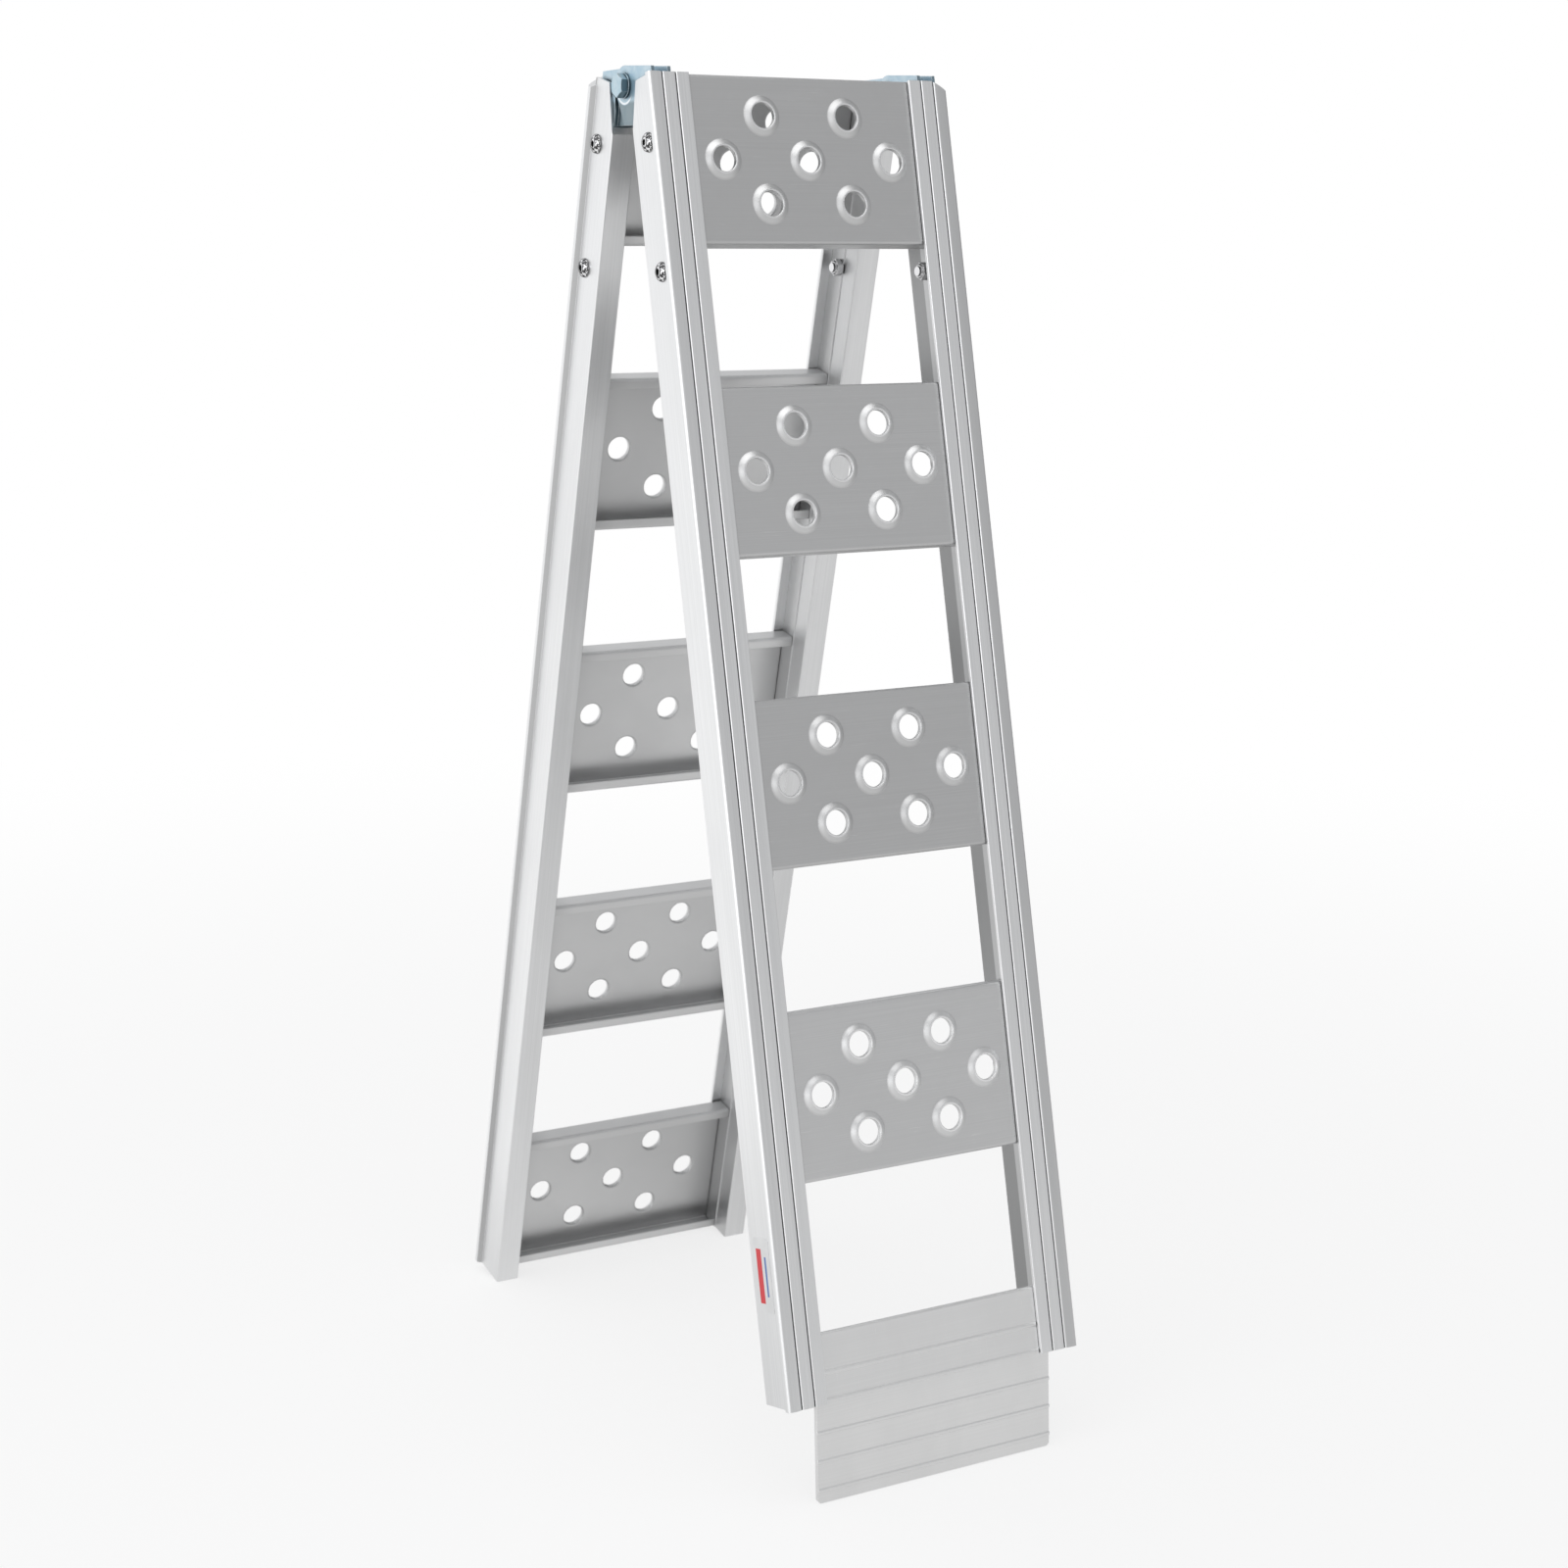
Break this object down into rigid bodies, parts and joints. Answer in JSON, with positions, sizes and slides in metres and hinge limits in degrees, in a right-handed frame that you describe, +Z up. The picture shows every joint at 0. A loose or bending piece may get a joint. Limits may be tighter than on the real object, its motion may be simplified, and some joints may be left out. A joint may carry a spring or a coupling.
{
  "type": "folding loading ramp",
  "caption": "Folding aluminium loading ramp standing open as an A: perforated treads between extruded rails, ribbed loading lip, steel hinges at the top.",
  "frame": {"origin": "on the ground, under the middle of the bounding box, with the ramp standing as an A", "axes": "+Z up, X across the ramp parallel to the hinge line, the section with the loading lip leans out to -Y and the ground section to +Y"},
  "size_m": [0.2832, 0.601, 1.1228],
  "materials": {
    "rail_extrusion": "satin mill-finish extrusion",
    "tread_sheet": "satin pressed sheet",
    "lip_extrusion": "satin ribbed extrusion",
    "zinc_steel": "blue zinc plate",
    "zinc_hardware": "blue zinc plate",
    "bolt_steel": "polished stainless",
    "nut_steel": "stainless",
    "decal_film": "clear film with two plain printed bars"
  },
  "bodies": {
    "lip_section": {"rail_front_left": "rail_extrusion", "rail_front_right": "rail_extrusion", "decal": "decal_film", "tread_front_1": "tread_sheet", "tread_front_2": "tread_sheet", "tread_front_3": "tread_sheet", "tread_front_4": "tread_sheet", "loading_lip": "lip_extrusion", "leaf_front_left": "zinc_steel", "leaf_front_right": "zinc_steel", "rail_bolts_front": "bolt_steel", "rail_nuts_front": "nut_steel", "pivot_bolts": "zinc_hardware", "pivot_washers": "zinc_hardware", "pivot_nuts": "zinc_hardware"},
    "ground_section": {"rail_rear_left": "rail_extrusion", "rail_rear_right": "rail_extrusion", "tread_rear_1": "tread_sheet", "tread_rear_2": "tread_sheet", "tread_rear_3": "tread_sheet", "tread_rear_4": "tread_sheet", "tread_rear_5": "tread_sheet", "leaf_rear_left": "zinc_steel", "leaf_rear_right": "zinc_steel", "rail_bolts_rear": "bolt_steel", "rail_nuts_rear": "nut_steel"}
  },
  "joints": [
    {"name": "fold", "type": "hinge", "parent": "lip_section", "child": "ground_section", "pos_m": [0, -0.00787, 1.10681], "axis": [1, 0, 0], "range_deg": [-26, 154]}
  ]
}
